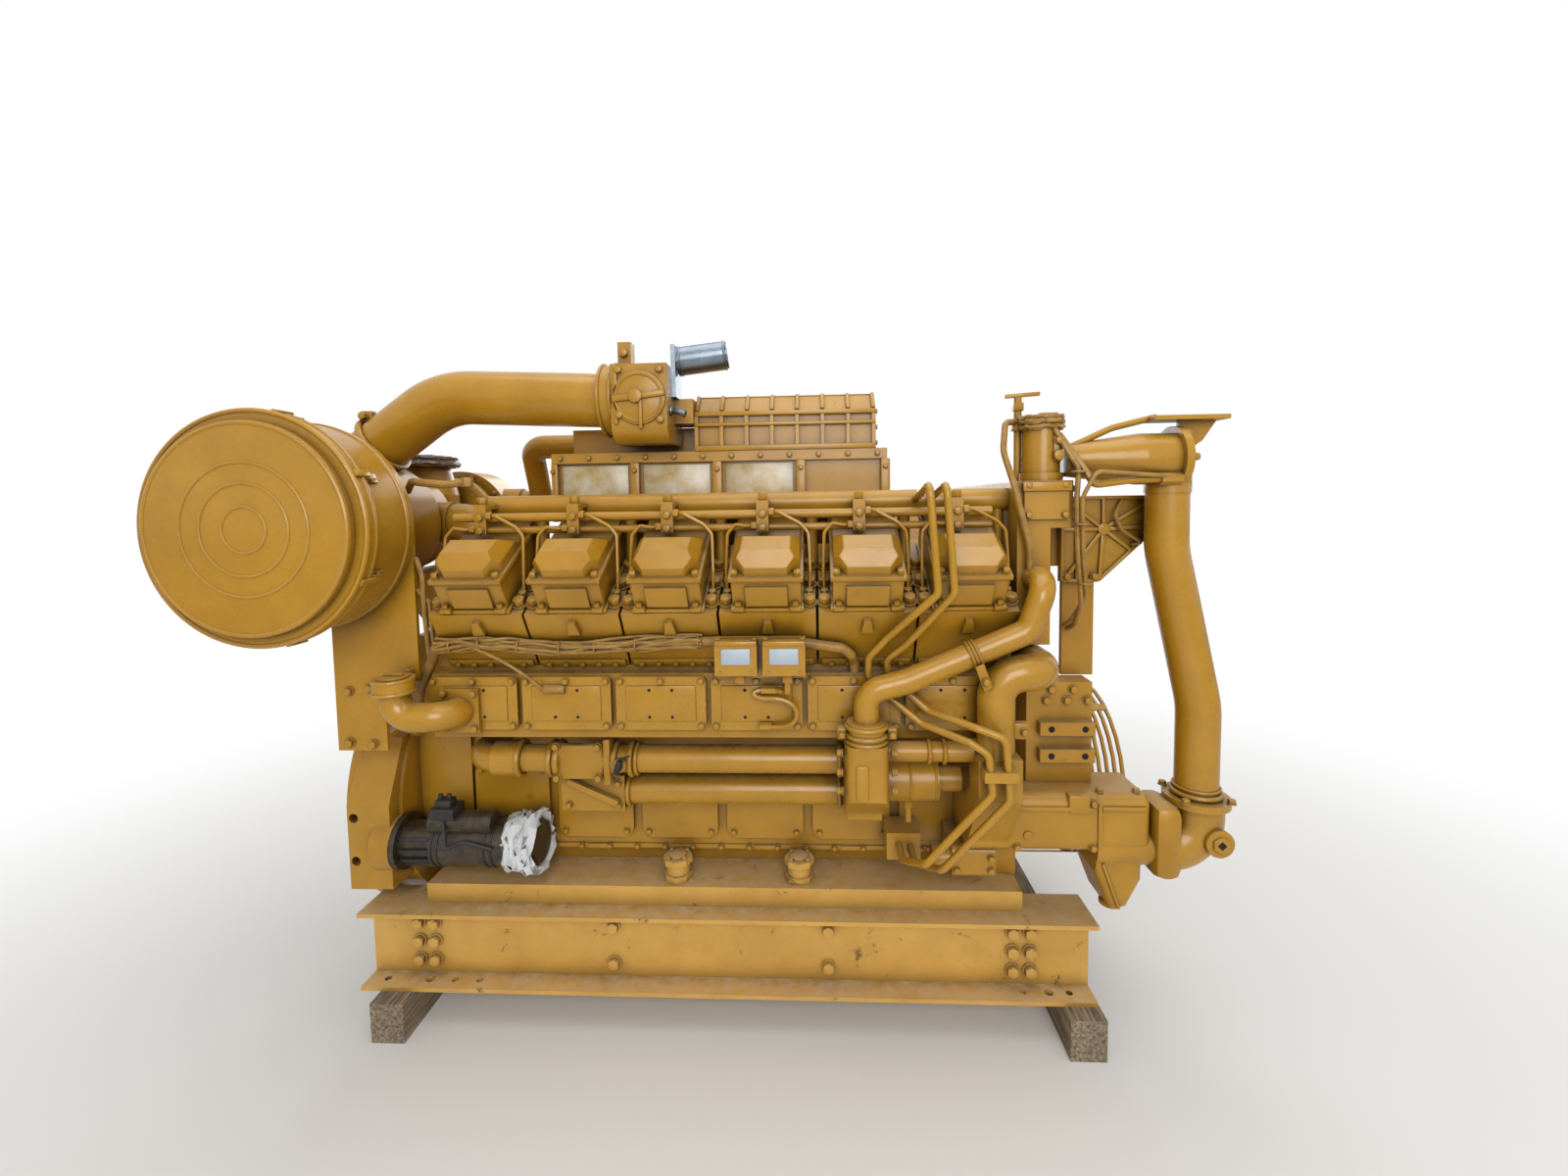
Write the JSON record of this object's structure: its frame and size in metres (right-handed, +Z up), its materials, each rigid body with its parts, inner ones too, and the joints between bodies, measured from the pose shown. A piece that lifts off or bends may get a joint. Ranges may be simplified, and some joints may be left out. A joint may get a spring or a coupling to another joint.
{
  "type": "industrial diesel engine on a beam base",
  "caption": "Twin-bank industrial diesel engine in ochre enamel, with rocker covers, coolant pipes, an air cleaner and a turning crankshaft, bolted on a steel beam base.",
  "frame": {"origin": "underside of the base beams at the middle of the anchor holes, below the crankshaft axis and the middle of the cylinder banks", "axes": "+X along the crankshaft to the damper end, -Y to the side with the air cleaner, +Z up"},
  "size_m": [2.838, 1.3562, 2.0604],
  "materials": {
    "engine_enamel": "glossy ochre enamel under dust",
    "timber": "weathered sawn timber",
    "bare_steel": "oiled bare steel",
    "rusted_iron": "rusted",
    "starter_paint": "ochre enamel under dark grime",
    "plated_steel": "zinc plated"
  },
  "bodies": {
    "engine": {"aftercooler_base": "engine_enamel", "aftercooler_cover": "engine_enamel", "air_cleaner": "engine_enamel", "air_cleaner_bracket": "engine_enamel", "air_shutoff_valve": "engine_enamel", "alarm_boxes": "engine_enamel", "base_beams": "engine_enamel", "base_crossmembers": "engine_enamel", "cam_covers": "engine_enamel", "crankcase_doors": "engine_enamel", "cylinder_block": "engine_enamel", "cylinder_heads": "engine_enamel", "damper_guard": "engine_enamel", "diagonal_coolant_pipe": "engine_enamel", "engine_rails": "engine_enamel", "exhaust_manifolds": "engine_enamel", "exhaust_outlet": "engine_enamel", "far_air_pipe": "engine_enamel", "far_turbocharger": "engine_enamel", "flywheel_housing": "engine_enamel", "front_bracket": "engine_enamel", "front_hanger": "engine_enamel", "front_housing": "engine_enamel", "front_water_pipe": "engine_enamel", "fuel_rails": "engine_enamel", "lower_coolant_pipe": "engine_enamel", "near_air_pipe": "engine_enamel", "near_turbocharger": "engine_enamel", "oil_cooler_bonnet": "engine_enamel", "oil_filler": "engine_enamel", "oil_lines": "engine_enamel", "oil_pan": "engine_enamel", "oil_pump": "engine_enamel", "pump_casting": "engine_enamel", "pump_inlet_elbow": "engine_enamel", "rear_gear_housing": "engine_enamel", "ribbed_plate": "engine_enamel", "rocker_covers": "engine_enamel", "shutoff_actuator": "plated_steel", "starter_motor": "starter_paint", "thermostat_elbow": "engine_enamel", "timber_bearers": "timber", "turbo_pedestal": "engine_enamel", "upper_coolant_pipe": "engine_enamel", "water_crossover": "engine_enamel", "water_elbow": "engine_enamel", "water_manifolds": "engine_enamel", "water_outlet": "engine_enamel", "water_pump": "engine_enamel", "wiring_harness": "engine_enamel"},
    "crankshaft": {"crankshaft": "bare_steel", "flywheel": "bare_steel", "vibration_damper": "rusted_iron", "crank_pulley": "bare_steel"}
  },
  "joints": [
    {"name": "crankshaft_turn", "type": "hinge", "parent": "engine", "child": "crankshaft", "pos_m": [0, 0, 0.52], "axis": [1, 0, 0], "continuous": true}
  ]
}
